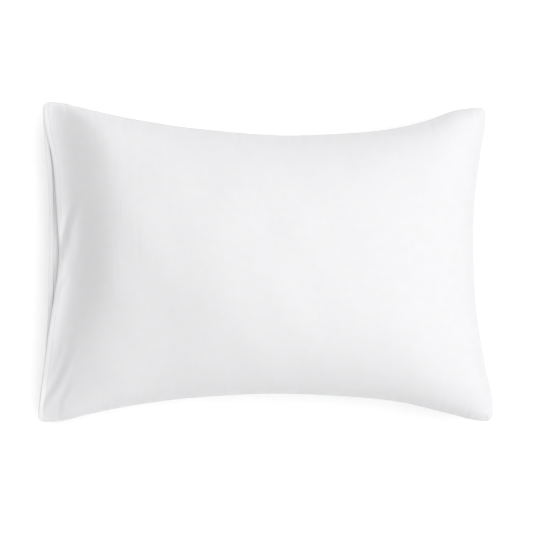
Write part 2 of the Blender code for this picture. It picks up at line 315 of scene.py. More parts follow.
# Fine gathers that run along the shoulder of the pillow. Each pair is a range to draw from.
GATHER_SEED = 11
GATHERS = 26
GATHER_X = (-0.280, -0.190)
GATHER_Y = (-0.090, 0.190)
GATHER_WIDTH = (0.0016, 0.0030)
GATHER_LENGTH = (0.030, 0.080)
GATHER_SLANT = (-0.06, 0.06)
GATHER_HEIGHT = (-1.0, 0.7)

# Puckers along the seams.
PUCKER_SEED = 23
PUCKER_START = 0.030  # distance from the mouth over which the puckers set in
PUCKER_PITCH = 0.0095
PUCKER_FIRST = (0.2, 1.0)  # place of the first one, in pitches
PUCKER_STEP = (0.35, 1.7)  # from one to the next, in pitches
PUCKER_WIDTH = (0.0020, 0.0044)
PUCKER_REACH = (0.003, 0.013)
PUCKER_SLANT = (-0.5, 0.5)
PUCKER_HEIGHT = (-1.0, 0.45)
PUCKER_RISE = 0.0012  # the less it is, the closer to the seam a pucker starts
PUCKER_CUT = 3  # widths from its middle line past which a pucker is level

# Broad soft lumps of the filling, which fade out towards the seams and the mouth.
LUMP_SEED = 5
LUMPS = 14
LUMP_LENGTHS = (0.070, 0.210)
LUMP_SEAM_FADE = 0.050
LUMP_MOUTH_START = 0.040
LUMP_MOUTH_FADE = 0.080

# ---------------------------------------------------------------- settings


class CaseSizes(bpy.types.PropertyGroup):
    """Sizes of the pillowcase that can be changed."""

    crown: bpy.props.FloatProperty(
        name="Crown", description="Rise of the front face over the seam line",
        default=0.112, min=0.02, max=0.16, unit="LENGTH")
    cloth: bpy.props.FloatProperty(
        name="Cloth", description="Thickness of one layer of cotton",
        default=0.0005, min=0.0002, max=0.003, precision=4, unit="LENGTH")
    hem_width: bpy.props.FloatProperty(
        name="Hem width", description="Width of the turned-in hem at the mouth",
        default=0.0074, min=0.004, max=0.08, precision=4, unit="LENGTH")
    stitch_pitch: bpy.props.FloatProperty(
        name="Stitch pitch", description="Length along the hem of one stitch",
        default=0.0030, min=0.0015, max=0.006, precision=4, unit="LENGTH")
    thread: bpy.props.FloatProperty(
        name="Thread", description="Diameter of the sewing thread",
        default=0.0004, min=0.0002, max=0.001, precision=4, unit="LENGTH")
    crease_depth: bpy.props.FloatProperty(
        name="Crease depth", description="Depth of the creases against those of the real case",
        default=1.0, min=0.0, max=3.0, subtype="FACTOR")
    pucker_depth: bpy.props.FloatProperty(
        name="Pucker depth", description="Depth of the puckers along the seams",
        default=0.0019, min=0.0, max=0.006, precision=4, unit="LENGTH")
    gather_depth: bpy.props.FloatProperty(
        name="Gather depth", description="Depth of the fine gathers on the shoulder",
        default=0.00035, min=0.0, max=0.002, precision=5, unit="LENGTH")
    lump_depth: bpy.props.FloatProperty(
        name="Filling lumps", description="Height of the soft lumps of the filling under the cloth",
        default=0.0009, min=0.0, max=0.006, precision=4, unit="LENGTH")


class CottonLooks(bpy.types.PropertyGroup):
    """Colour and weave of the cotton."""

    colour: bpy.props.FloatVectorProperty(
        name="Cotton", description="Colour of the bleached cotton",
        default=(0.858, 0.857, 0.870), size=3, min=0.0, max=1.0, subtype="COLOR")
    thread_colour: bpy.props.FloatVectorProperty(
        name="Thread", description="Colour of the sewing thread",
        default=(0.80, 0.805, 0.81), size=3, min=0.0, max=1.0, subtype="COLOR")
    yarn_pitch: bpy.props.FloatProperty(
        name="Yarn pitch", description="Distance between neighbouring yarns",
        default=0.00055, min=0.0002, max=0.002, precision=5, unit="LENGTH")
    slub: bpy.props.FloatProperty(
        name="Slubs", description="How much the yarns' thicker places show",
        default=0.35, min=0.0, max=1.0, subtype="FACTOR")


class PillowLooks(bpy.types.PropertyGroup):
    """Colour and weave of the pillow's cover."""

    colour: bpy.props.FloatVectorProperty(
        name="Cover", description="Colour of the pillow's cover",
        default=(0.80, 0.80, 0.785), size=3, min=0.0, max=1.0, subtype="COLOR")
    twill_pitch: bpy.props.FloatProperty(
        name="Twill pitch", description="Distance between the slanted lines of the weave",
        default=0.0016, min=0.0005, max=0.005, precision=4, unit="LENGTH")


class StudioLooks(bpy.types.PropertyGroup):
    """Floor, lights and camera."""

    floor_colour: bpy.props.FloatVectorProperty(
        name="Floor", description="Colour of the plain floor",
        default=(0.97, 0.97, 0.97), size=3, min=0.0, max=1.0, subtype="COLOR")
    sky: bpy.props.FloatProperty(
        name="Room light", description="Strength of the light that comes from the room's walls",
        default=0.24, min=0.0, max=3.0)
    overhead: bpy.props.FloatProperty(
        name="Overhead light", description="How much the light gains towards the soft box overhead",
        default=1.25, min=0.0, max=3.0)
    from_right: bpy.props.FloatProperty(
        name="Light from the right",
        description="How much the light gains to the right and loses to the left",
        default=0.59, min=-1.0, max=1.0)
    from_top: bpy.props.FloatProperty(
        name="Light from the top", description="How much the light gains towards the top of the view",
        default=0.14, min=-1.0, max=1.0)
    horizon: bpy.props.FloatProperty(
        name="Horizon",
        description="Height, as the sine of an angle, under which the room's walls grow dim",
        default=0.45, min=0.01, max=1.0)
    floor_glow: bpy.props.FloatProperty(
        name="Floor glow", description="Light that comes up through the pale floor, as from a light table",
        default=0.13, min=0.0, max=1.0)
    lens: bpy.props.FloatProperty(
        name="Lens", description="Focal length in millimetres",
        default=200.0, min=35.0, max=400.0)


# ---------------------------------------------------------------- curves


def depth_at(table, share, column="depth"):
    """Values of a column at shares of a side, on a smooth curve through its table's rows."""
    shares = np.array([row.share for row in table])
    depths = np.array([getattr(row, column) for row in table])
    last = len(table) - 1
    row = np.clip(np.searchsorted(shares, share) - 1, 0, last - 1)
    before = np.maximum(row - 1, 0)
    after = np.minimum(row + 2, last)
    span = shares[row + 1] - shares[row]
    slope_in = (depths[row + 1] - depths[before]) / (shares[row + 1] - shares[before])
    slope_out = (depths[after] - depths[row]) / (shares[after] - shares[row])
    t = np.clip((share - shares[row]) / span, 0, 1)
    first = (1 + 2 * t) * (1 - t) ** 2 * depths[row] + t * (1 - t) ** 2 * span * slope_in
    second = t * t * (3 - 2 * t) * depths[row + 1] - t * t * (1 - t) * span * slope_out
    return first + second


def larger(a, b, blend):
    """The larger of two values, with a rounded change from one to the other."""
    near = np.maximum(blend - np.abs(a - b), 0)
    return np.maximum(a, b) + near * near / blend / 4


def eased(share):
    """From 0 to 1 with a level start and end."""
    t = np.clip(share, 0, 1)
    return t * t * (3 - 2 * t)


def swell(share, power=SWELL_POWER):
    """The round of the filling: steep at an edge, level at the crown."""
    inner = 1 - np.clip(share, 0, 1)
    return (1 - inner ** power) ** (1 / SWELL_ROOT)


def spread(spacings, length):
    """Shares from 0 to 1 whose distances follow a table of spacings."""
    fine = np.linspace(0, 1, SPREAD_STEPS + 1)
    steps = np.interp(fine, [row.share for row in spacings], [row.step for row in spacings])
    count = np.concatenate([[0], np.cumsum(length / SPREAD_STEPS * 2 / (steps[1:] + steps[:-1]))])
    rows = int(round(count[-1]))
    return np.interp(np.linspace(0, count[-1], rows + 1), count, fine)


def closing(rows):
    """Shares from 0 to 1 that close up towards both ends."""
    return (1 - np.cos(np.pi * np.linspace(0, 1, rows + 1))) / 2


# ---------------------------------------------------------------- outline and heights


def side(first, second, table, inward, share):
    """Points of a drawn-in side between two corners."""
    run = Vector((second.x - first.x, second.y - first.y))
    across = Vector((-run.y, run.x)).normalized() * inward
    depth = depth_at(table, share)
    x = first.x + run.x * share + across.x * depth
    y = first.y + run.y * share + across.y * depth
    return np.array([x, y])


def plan(u, v):
    """Places seen from above of the share u from the mouth and the share v from the low seam."""
    low = side(MOUTH_LOW, CLOSED_LOW, LOW_SEAM, 1, u)
    high = side(MOUTH_HIGH, CLOSED_HIGH, HIGH_SEAM, -1, u)
    mouth = side(MOUTH_LOW, MOUTH_HIGH, MOUTH_SIDE, -1, v)
    closed = side(CLOSED_LOW, CLOSED_HIGH, CLOSED_SIDE, 1, v)
    corners = 0
    for corner, weight in (
        (MOUTH_LOW, (1 - u) * (1 - v)),
        (CLOSED_LOW, u * (1 - v)),
        (MOUTH_HIGH, (1 - u) * v),
        (CLOSED_HIGH, u * v),
    ):
        corners = corners + np.array([corner.x * weight, corner.y * weight])
    return low * (1 - v) + high * v + mouth * (1 - u) + closed * u - corners


def corner_rounds(u, v):
    """Radius of the nearest corner."""
    low = np.where(u < 0.5, MOUTH_LOW.round, CLOSED_LOW.round)
    high = np.where(u < 0.5, MOUTH_HIGH.round, CLOSED_HIGH.round)
    return np.where(v < 0.5, low, high)


def rounded(u, v):
    """Shares after the outline's corners are rounded off."""
    radius = corner_rounds(u, v)
    p = np.maximum(1 - np.minimum(u, 1 - u) * CASE_LENGTH / radius, 0)
    q = np.maximum(1 - np.minimum(v, 1 - v) * CASE_WIDTH / radius, 0)
    end_share = radius * (1 - p * np.sqrt(1 - q * q / 2)) / CASE_LENGTH
    seam_share = radius * (1 - q * np.sqrt(1 - p * p / 2)) / CASE_WIDTH
    inside = (p > 0) & (q > 0)
    new_u = np.where(u < 0.5, end_share, 1 - end_share)
    new_v = np.where(v < 0.5, seam_share, 1 - seam_share)
    return np.where(inside, new_u, u), np.where(inside, new_v, v)


def seam_level(u, v):
    """Height of the seam line, and of the surface that parts the two faces inside it."""
    corner = MOUTH_CORNER_LEVEL + (CLOSED_CORNER_LEVEL - MOUTH_CORNER_LEVEL) * u
    middle = MOUTH_LEVEL + (SEAM_LEVEL - MOUTH_LEVEL) * eased(u / MOUTH_SETTLE)
    at_mouth = RISE_LOW_SEAM + (RISE_HIGH_SEAM - RISE_LOW_SEAM) * v
    lengthways = 1 - (1 - np.sin(np.pi * u)) ** np.where(u < 0.5, at_mouth, RISE_CLOSED_END)
    crossways = np.sin(np.pi * v)
    return corner + (middle - corner) * (1 - (1 - lengthways) * (1 - crossways))


def filling(u, v, inset):
    """Share of the crown: a climb from the mouth over the pillow's end, then a round form."""
    end = 1 - inset / CASE_LENGTH
    seam = inset / CASE_WIDTH
    crossways = swell((np.minimum(v, 1 - v) - seam) / (0.5 - seam))
    climb = 1 - np.exp(-(u / depth_at(CLIMBS, v, "reach")) ** depth_at(CLIMBS, v, "steepness"))
    climb = climb * swell(u / CROWN_AT, depth_at(CLIMBS, v, "shoulder"))
    crossways = crossways ** (1 - FULLNESS_AT_MOUTH * (1 - eased(u / FULLNESS_FADE)))
    return np.where(u > CROWN_AT, swell((end - u) / (end - CROWN_AT)), climb) * crossways


def seam_distance(u, v):
    """Distance from the nearest of the three seams."""
    across = np.minimum(v, 1 - v) * CASE_WIDTH
    return np.minimum(across, (1 - u) * CASE_LENGTH)


def knife(u, v):
    """From 0 at a seam to 1 inside it, so that the seam is a crisp edge."""
    return 1 - np.exp(-seam_distance(u, v) / KNIFE_EDGE)


def lip(u, v):
    """Share of the mouth's parting: greatest a little above the middle, gone over the pillow."""
    return np.sin(np.pi * v ** LIP_PEAK) ** 2 * (1 - eased(u / LIP_FADE))


def seam_fold(u, v):
    """The tight round on which a panel turns in at its seam, and the print of the allowances."""
    distance = seam_distance(u, v)
    turn = 1 - np.clip(distance / SEAM_FOLD, 0, 1)
    fade_from, fade_over = ALLOWANCE_FADE
    print_through = ALLOWANCE_RISE * (1 - eased((distance / ALLOWANCE_WIDTH - fade_from) / fade_over))
    return SEAM_PARTING + SEAM_LIFT * np.sqrt(1 - turn * turn) + print_through * (1 - turn)


# ---------------------------------------------------------------- creases, gathers and puckers


def smooth_line(points):
    """A line through points, on a smooth curve."""
    knots = np.array(points)
    ends = np.vstack([2 * knots[0] - knots[1], knots, 2 * knots[-1] - knots[-2]])
    line = []
    for index in range(len(knots) - 1):
        a, b, c, d = ends[index:index + 4]
        for step in range(FOLD_PIECES):
            t = step / FOLD_PIECES
            line.append(0.5 * (2 * b + (c - a) * t + (2 * a - 5 * b + 4 * c - d) * t * t
                               + (3 * b - a - 3 * c + d) * t ** 3))
    line.append(knots[-1])
    return np.array(line)


def from_line(x, y, line):
    """Signed distance from a line, and the share along it, which runs on past both of its ends."""
    best = np.full(x.shape, np.inf)
    off = np.zeros(x.shape)
    along = np.zeros(x.shape)
    count = len(line) - 1
    for index, (start, end) in enumerate(zip(line, line[1:])):
        run = end - start
        length = np.hypot(*run)
        t = ((x - start[0]) * run[0] + (y - start[1]) * run[1]) / length ** 2
        held = np.clip(t, 0, 1)
        dx = x - start[0] - held * run[0]
        dy = y - start[1] - held * run[1]
        distance = np.hypot(dx, dy)
        cross = (dy * run[0] - dx * run[1]) / length
        nearer = distance < best
        best = np.where(nearer, distance, best)
        off = np.where(nearer, np.sign(cross) * distance, off)
        passed = t if index == 0 else held
        if index == count - 1:
            passed = np.where(t > 1, t, passed)
        along = np.where(nearer, (index + passed) / count, along)
    return off, along


def creases(x, y):
    """Height that the creases add at places seen from above."""
    height = np.zeros(x.shape)
    for fold in FOLDS:
        off, along = from_line(x, y, smooth_line(fold.points))
        past_end = np.maximum(np.abs(along - 0.5) - 0.5, 0)
        fade = np.sin(np.pi * np.clip(along, 0, 1)) ** FOLD_TAPER * np.exp(-(past_end * FOLD_STOP) ** 2)
        r = off / fold.width
        if fold.kind == "step":
            height += fold.depth * r * np.exp(0.5 - r * r / 2) * fade
        else:
            height += fold.depth * np.exp(-r * r) * fade
    return height


def gathers(x, y):
    """Fine long ripples beside the shoulder of the pillow, from -1 to 1."""
    draw = random.Random(GATHER_SEED)
    height = np.zeros(x.shape)
    for _ in range(GATHERS):
        at_x = draw.uniform(*GATHER_X)
        at_y = draw.uniform(*GATHER_Y)
        width = draw.uniform(*GATHER_WIDTH)
        length = draw.uniform(*GATHER_LENGTH)
        slant = draw.uniform(*GATHER_SLANT)
        tall = draw.uniform(*GATHER_HEIGHT)
        off = (x - at_x - slant * (y - at_y)) / width
        along = (y - at_y) / (length / 2)
        height += tall * np.exp(-off * off - along * along)
    return height


def puckers(along, away, length, draw):
    """Short ripples that run in from a seam, from -1 to 1."""
    height = np.zeros(along.shape)
    place = draw.uniform(*PUCKER_FIRST) * PUCKER_PITCH
    while place < length:
        width = draw.uniform(*PUCKER_WIDTH)
        reach = draw.uniform(*PUCKER_REACH)
        slant = draw.uniform(*PUCKER_SLANT)
        tall = draw.uniform(*PUCKER_HEIGHT)
        off = (along - place - slant * away) / width
        rise = away / PUCKER_RISE
        shape = tall * np.exp(-off * off) * np.exp(-away / reach) * rise / (1 + rise)
        height += np.where(np.abs(off) < PUCKER_CUT, shape, 0)
        place += draw.uniform(*PUCKER_STEP) * PUCKER_PITCH
    return height


def seam_puckers(u, v, seed):
    """The puckers of the two long seams and the closed end."""
    draw = random.Random(seed)
    low = puckers(u * CASE_LENGTH, v * CASE_WIDTH, CASE_LENGTH, draw)
    high = puckers(u * CASE_LENGTH, (1 - v) * CASE_WIDTH, CASE_LENGTH, draw)
    closed = puckers(v * CASE_WIDTH, (1 - u) * CASE_LENGTH, CASE_WIDTH, draw)
    return low + high + closed


def lumps(x, y):
    """Broad soft lumps of the filling, mostly from -1 to 1."""
    draw = random.Random(LUMP_SEED)
    height = np.zeros(x.shape)
    for _ in range(LUMPS):
        turn = draw.uniform(0, math.tau)
        wave = math.tau / draw.uniform(*LUMP_LENGTHS)
        phase = draw.uniform(0, math.tau)
        height += np.sin((x * math.cos(turn) + y * math.sin(turn)) * wave + phase)
    return height / math.sqrt(LUMPS)


# ---------------------------------------------------------------- surfaces of the pieces

NO_SIZE = 1e-12  # below it a normal has no direction


def away_from_edges(u, v):
    """From 0 at the seams and the mouth to 1 over the pillow, where the lumps show."""
    past_mouth = eased((u * CASE_LENGTH - LUMP_MOUTH_START) / LUMP_MOUTH_FADE)
    return eased(seam_distance(u, v) / LUMP_SEAM_FADE) * past_mouth


def front_surface(u, v, sizes):
    """Outer face of the front panel, whose rows start where its hem has pulled back to.

    It lies on the back panel's hem where the two meet, and never sinks into it.
    """
    inside = 1 - u
    curled = np.maximum(1 - u * CASE_LENGTH / CURLED_EDGE, 0) ** 2 * lip(u, v)
    u = u + inside * depth_at(PULLED_BACK, v) / CASE_LENGTH
    x, y = plan(*rounded(u, v))
    z = seam_level(u, v) + seam_fold(u, v) + sizes.crown * filling(u, v, 0) * knife(u, v)
    z = z + LIP_PARTING * lip(u, v) - CURLED_DROP * curled
    z = z + sizes.crease_depth * creases(x, y) * eased(seam_distance(u, v) / FOLD_START)
    z = z + sizes.gather_depth * gathers(x, y)
    z = z + sizes.lump_depth * lumps(x, y) * away_from_edges(u, v)
    room = HEMS_THICK * eased(seam_distance(u, v) / HEMS_FADE)
    z = larger(z, back_surface(u, v, sizes)[..., 2] + room, HEMS_SETTLE)
    return np.stack([x, y, z], axis=-1)


def back_surface(u, v, sizes):
    """Outer face of the back panel, flat where it rests on the floor."""
    x, y = plan(*rounded(u, v))
    z = seam_level(u, v) - seam_fold(u, v) - BELLY * filling(u, v, 0) * knife(u, v)
    z = larger(0.0, z - LIP_SAG * lip(u, v), FLOOR_ROUNDING)
    return np.stack([x, y, z], axis=-1)


def outward(points, up):
    """Unit normals of a grid of points, on the side given by up."""
    along = np.gradient(points, axis=0)
    across = np.gradient(points, axis=1)
    normals = np.cross(along, across)
    size = np.linalg.norm(normals, axis=-1, keepdims=True)
    flat = np.zeros_like(normals)
    flat[..., 2] = 1
    normals = np.where(size > NO_SIZE, normals / np.maximum(size, NO_SIZE), flat)
    return normals * up


def thickness_at(distance, sizes):
    """Thickness of the panel: one layer, and three pressed flat in the turned-in hem."""
    hem = 1 - eased((distance - sizes.hem_width) / HEM_STEP + 0.5)
    return sizes.cloth * (1 + HEM_EXTRA_LAYERS * hem)


def stitches_at(sizes):
    """Distance of the line of stitches from the edge of the hem."""
    return sizes.hem_width - STITCHES_INSET


def hem_relief(distance, along, sizes):
    """The groove that the stitches press in, and the slight roping of the hem beside it."""
    line = stitches_at(sizes)
    groove = -GROOVE_DEPTH * np.exp(-((distance - line) / GROOVE_WIDTH) ** 2)
    first, second = (along * math.tau / pitch for pitch in ROPING_PITCHES)
    ripple = np.sin(first + distance * ROPING_SLANT) + ROPING_SECOND * np.sin(second)
    off = (distance - line * ROPING_MIDDLE) / (line * ROPING_SPREAD)
    return groove + ROPING_DEPTH * ripple * np.exp(-off ** 2)


# ---------------------------------------------------------------- meshes


def add_piece(name, verts, faces, coords, material):
    """A smooth-shaded mesh with its cloth coordinates, riding with the object's body."""
    mesh = bpy.data.meshes.new(name)
    mesh.from_pydata(verts.tolist(), [], faces)
    mesh.validate()
    mesh.shade_smooth()
    if coords is not None:
        layer = mesh.uv_layers.new(name="cloth")
        corners = np.empty(len(mesh.loops), dtype=np.int32)
        mesh.loops.foreach_get("vertex_index", corners)
        layer.data.foreach_set("uv", coords[corners].ravel())
    mesh.materials.append(material)
    piece = bpy.data.objects.new(name, mesh)
    bpy.context.scene.collection.objects.link(piece)
    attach(piece, "root")
    return piece


def grid_faces(indices, flip):
    """Quads of a grid of vertex numbers."""
    a = indices[:-1, :-1].ravel()
    b = indices[1:, :-1].ravel()
    c = indices[1:, 1:].ravel()
    d = indices[:-1, 1:].ravel()
    quads = np.stack([a, d, c, b] if flip else [a, b, c, d], axis=-1)
    return quads.tolist()


def panel_mesh(outer, normals, thickness, shares, up):
    """Vertices, faces and cloth coordinates of a sheet with a rounded edge at the mouth.

    Each column of its grid is a loop from the closed end over the outer face, round the edge at the
    mouth and back along the inner face. Narrow quads close it along the closed end and the two seams.
    """
    u, v = shares
    inner = outer - normals * thickness[..., None]
    rows, columns = outer.shape[:2]
    rim_out = np.gradient(outer, axis=0)[0]
    rim_out = -rim_out / np.linalg.norm(rim_out, axis=-1, keepdims=True)
    middle = (outer[0] + inner[0]) / 2
    half = thickness[0][:, None] / 2
    rim = []
    for step in range(1, RIM_ROWS):
        turn = math.pi * step / RIM_ROWS
        rim.append(middle + half * (math.cos(turn) * normals[0] + math.sin(turn) * rim_out))
    loop = np.concatenate([outer[::-1], np.array(rim), inner])
    flat = np.stack([u * CASE_LENGTH, v * CASE_WIDTH], axis=-1)
    flat_rim = np.repeat(flat[:1], RIM_ROWS - 1, axis=0)
    flat_loop = np.concatenate([flat[::-1], flat_rim, flat])
    count = len(loop)
    indices = np.arange(count * columns).reshape(count, columns)
    faces = grid_faces(indices, up > 0) + grid_faces(indices[[0, -1]], up > 0)
    for edge, flip in ((0, up < 0), (columns - 1, up > 0)):
        strip = indices[:, edge]
        faces += grid_faces(np.stack([strip[:rows], strip[::-1][:rows]], axis=-1), flip)
        round_end = strip[rows - 1:count - rows + 1]
        faces.append((round_end[::-1] if flip else round_end).tolist())
    return loop.reshape(-1, 3), faces, flat_loop.reshape(-1, 2)


# ---------------------------------------------------------------- materials


# Textures of the cotton, as repeats in a metre along and across its panel.
WEFT_SLUBS = (900.0, 28.0)
WARP_SLUBS = (30.0, 850.0)
CRUMPLE = (60.0, 60.0)


def new_material(name):
    """A node material, its tree and its Principled shader."""
    material = bpy.data.materials.new(name)
    material.use_nodes = True
    tree = material.node_tree
    return material, tree, tree.nodes["Principled BSDF"]


def maths(tree, operation, first, second):
    """A Math node between two sockets or numbers."""
    made = tree.nodes.new("ShaderNodeMath")
    made.operation = operation
    for socket, value in zip(made.inputs, (first, second)):
        if isinstance(value, bpy.types.NodeSocket):
            tree.links.new(value, socket)
        else:
            socket.default_value = value
    return made.outputs[0]


def mixed(tree, *parts):
    """The sum of sockets, each times its share."""
    total = None
    for socket, share in parts:
        part = maths(tree, "MULTIPLY", socket, share)
        total = part if total is None else maths(tree, "ADD", total, part)
    return total


def cloth_place(tree, stretch):
    """The panel's own flat coordinates in metres, scaled along and across."""
    coords = tree.nodes.new("ShaderNodeUVMap")
    coords.uv_map = "cloth"
    mapping = tree.nodes.new("ShaderNodeMapping")
    mapping.inputs["Scale"].default_value = (*stretch, 1.0)
    tree.links.new(coords.outputs["UV"], mapping.inputs["Vector"])
    return mapping.outputs["Vector"]


def object_place(tree):
    """The piece's own coordinates in metres."""
    return tree.nodes.new("ShaderNodeTexCoord").outputs["Object"]


def noise(tree, place, scale=1.0, detail=2.0, roughness=0.5):
    """Soft noise over a place."""
    made = tree.nodes.new("ShaderNodeTexNoise")
    made.inputs["Scale"].default_value = scale
    made.inputs["Detail"].default_value = detail
    made.inputs["Roughness"].default_value = roughness
    tree.links.new(place, made.inputs["Vector"])
    return made.outputs["Fac"]


def bands(tree, place, direction, scale=1.0, distortion=0.0):
    """Even bands over a place, as of yarns side by side."""
    made = tree.nodes.new("ShaderNodeTexWave")
    made.bands_direction = direction
    made.inputs["Scale"].default_value = scale
    made.inputs["Distortion"].default_value = distortion
    tree.links.new(place, made.inputs["Vector"])
    return made.outputs["Fac"]


def bands_scale(pitch):
    """Scale for bands of a pitch, as the wave texture has one band in 2 pi / 20 of a unit."""
    return math.tau / 20 / pitch


def raise_by(tree, shader, height, strength, distance):
    """Raise the surface by a height, as a bump."""
    bump = tree.nodes.new("ShaderNodeBump")
    bump.inputs["Strength"].default_value = strength
    bump.inputs["Distance"].default_value = distance
    tree.links.new(height, bump.inputs["Height"])
    tree.links.new(bump.outputs["Normal"], shader.inputs["Normal"])


def colour_by(tree, shader, value, colour, shades, stops=(0.0, 1.0)):
    """Colour the surface from one shade of a colour to another as a value rises between stops."""
    ramp = tree.nodes.new("ShaderNodeValToRGB")
    for element, stop, shade in zip(ramp.color_ramp.elements, stops, shades):
        element.position = stop
        element.color = [min(c * shade, 1.0) for c in colour] + [1.0]
    tree.links.new(value, ramp.inputs["Fac"])
    tree.links.new(ramp.outputs["Color"], shader.inputs["Base Color"])


def cotton_material(name, looks):
    """Bleached plain-woven cotton: fine crossed yarns, slubs and a soft uneven hand."""
    material, tree, shader = new_material(name)
    scale = bands_scale(looks.yarn_pitch)
    weft = bands(tree, cloth_place(tree, (scale, scale)), "X")
    warp = bands(tree, cloth_place(tree, (scale, scale)), "Y")
    weave = mixed(tree, (weft, 0.5), (warp, 0.5))
    weft_slubs = noise(tree, cloth_place(tree, WEFT_SLUBS), detail=3.0, roughness=0.6)
    warp_slubs = noise(tree, cloth_place(tree, WARP_SLUBS), detail=3.0, roughness=0.6)
    slubs = mixed(tree, (weft_slubs, 0.6), (warp_slubs, 0.4))
    crumple = noise(tree, cloth_place(tree, CRUMPLE), detail=4.0, roughness=0.55)
    height = mixed(tree, (weave, 0.10), (slubs, looks.slub), (crumple, 0.55))
    raise_by(tree, shader, height, strength=0.35, distance=0.0006)
    tone = mixed(tree, (slubs, 0.5), (crumple, 0.5))
    colour_by(tree, shader, tone, looks.colour, shades=(0.975, 1.015), stops=(0.30, 0.70))
    rough = tree.nodes.new("ShaderNodeMapRange")
    rough.inputs["To Min"].default_value = 0.80
    rough.inputs["To Max"].default_value = 0.92
    tree.links.new(weave, rough.inputs["Value"])
    tree.links.new(rough.outputs["Result"], shader.inputs["Roughness"])
    shader.inputs["Specular IOR Level"].default_value = 0.25
    shader.inputs["Sheen Weight"].default_value = 0.10
    shader.inputs["Sheen Roughness"].default_value = 0.5
    return material


def thread_material(name, looks):
    """Twisted sewing thread."""
    material, tree, shader = new_material(name)
    twist = bands(tree, object_place(tree), "DIAGONAL", scale=900.0, distortion=0.4)
    raise_by(tree, shader, twist, strength=0.4, distance=0.0001)
    colour_by(tree, shader, twist, looks.thread_colour, shades=(0.94, 1.0))
    shader.inputs["Roughness"].default_value = 0.6
    return material


def ticking_material(name, looks):
    """The close slanted weave of the pillow's cover."""
    material, tree, shader = new_material(name)
    place = object_place(tree)
    twill = bands(tree, place, "DIAGONAL", scale=bands_scale(looks.twill_pitch), distortion=0.15)
    soft = noise(tree, place, scale=45.0, detail=4.0)
    height = mixed(tree, (twill, 0.2), (soft, 0.8))
    raise_by(tree, shader, height, strength=0.4, distance=0.0012)
    colour_by(tree, shader, height, looks.colour, shades=(0.93, 1.0))
    shader.inputs["Roughness"].default_value = 0.88
    return material


def floor_material(name, looks):
    """A plain pale floor of a hardly uneven colour, which glows a little."""
    material, tree, shader = new_material(name)
    soft = noise(tree, object_place(tree), scale=6.0)
    colour_by(tree, shader, soft, looks.floor_colour, shades=(0.995, 1.0))
    shader.inputs["Roughness"].default_value = 0.95
    shader.inputs["Specular IOR Level"].default_value = 0.1
    shader.inputs["Emission Color"].default_value = (1.0, 1.0, 1.0, 1.0)
    shader.inputs["Emission Strength"].default_value = looks.floor_glow
    return material


# ---------------------------------------------------------------- pieces


def make_panel(name, surface, up, seed, material, sizes):
    """One panel of the case as a thin sheet, with its hem at the mouth."""
    along = spread(ROWS_ALONG, CASE_LENGTH)
    across = spread(ROWS_ACROSS, CASE_WIDTH)
    u, v = np.meshgrid(along, across, indexing="ij")
    outer = surface(u, v, sizes)
    normals = outward(outer, up)
    distance = u * CASE_LENGTH
    relief = hem_relief(distance, v * CASE_WIDTH, sizes)
    relief = relief + sizes.pucker_depth * seam_puckers(u, v, seed) * eased(distance / PUCKER_START)
    outer = outer + normals * relief[..., None]
    thickness = thickness_at(distance, sizes)
    verts, faces, coords = panel_mesh(outer, normals, thickness, (u, v), up)
    return add_piece(name, verts, faces, coords, material)


def stitch_verts(start, middle, end, lift, radius):
    """Vertices of one stitch, ring by ring from its start to its end."""
    sideways = (end - start).normalized().cross(lift).normalized()
    rings = [(start, ring) for ring in STITCH_RINGS] + [(end, ring) for ring in STITCH_RINGS[-2::-1]]
    verts = []
    for foot, ring in rings:
        centre = foot + (middle - foot) * ring.way + lift * radius * ring.height
        for corner in range(STITCH_SIDES):
            turn = math.tau * corner / STITCH_SIDES
            spoke = sideways * math.cos(turn) + lift * math.sin(turn)
            verts.append(tuple(centre + spoke * radius * ring.width))
    return verts


def stitch_faces():
    """Faces of one stitch: quads between its rings, and a cap at each end."""
    rings = 2 * len(STITCH_RINGS) - 1
    indices = np.arange(rings * STITCH_SIDES).reshape(rings, STITCH_SIDES)
    quads = grid_faces(np.concatenate([indices, indices[:, :1]], axis=1), True)
    return quads + [indices[0, ::-1].tolist(), indices[-1].tolist()]


def make_stitches(name, surface, up, inner, material, sizes):
    """The line of stitches that holds a hem, on one face of its panel."""
    line = stitches_at(sizes)
    count = int(CASE_WIDTH / sizes.stitch_pitch)
    halves = np.arange(count * 2 + 1) / (count * 2)
    u = np.array([line - STITCH_PROBE, line, line + STITCH_PROBE]) / CASE_LENGTH
    points = surface(*np.meshgrid(u, halves, indexing="ij"), sizes)
    normals = outward(points, up)
    depth = sizes.cloth * (1 + HEM_EXTRA_LAYERS) if inner else GROOVE_DEPTH
    seats = points[1] - normals[1] * depth
    lifts = -normals[1] if inner else normals[1]
    start_dip, end_dip = STITCH_DIPS
    one_stitch = stitch_faces()
    verts, faces = [], []
    for index in range(2, count * 2 - 3, 2):
        before, middle, after = seats[index:index + 3]
        start = before * (1 - start_dip) + middle * start_dip
        end = after * (1 - end_dip) + middle * end_dip
        faces += [[len(verts) + corner for corner in face] for face in one_stitch]
        verts += stitch_verts(*map(Vector, (start, middle, end, lifts[index + 1])), sizes.thread / 2)
    return add_piece(name, np.array(verts), faces, None, material)


def pillow_surface(u, v, upper, sizes):
    """Upper or lower face of the pillow, just inside the two panels."""
    x, y = plan(*rounded(u, v))
    bulge = swell((u - PILLOW_START) / PILLOW_ROUND_END) * filling(u, v, PILLOW_INSET)
    air = PILLOW_AIR * bulge ** PILLOW_AIR_POWER
    if upper:
        z = seam_level(u, v) + sizes.crown * bulge - air
    else:
        z = larger(PILLOW_AIR / 2, seam_level(u, v) - BELLY * bulge + air, FLOOR_ROUNDING)
    return np.stack([x, y, z], axis=-1)


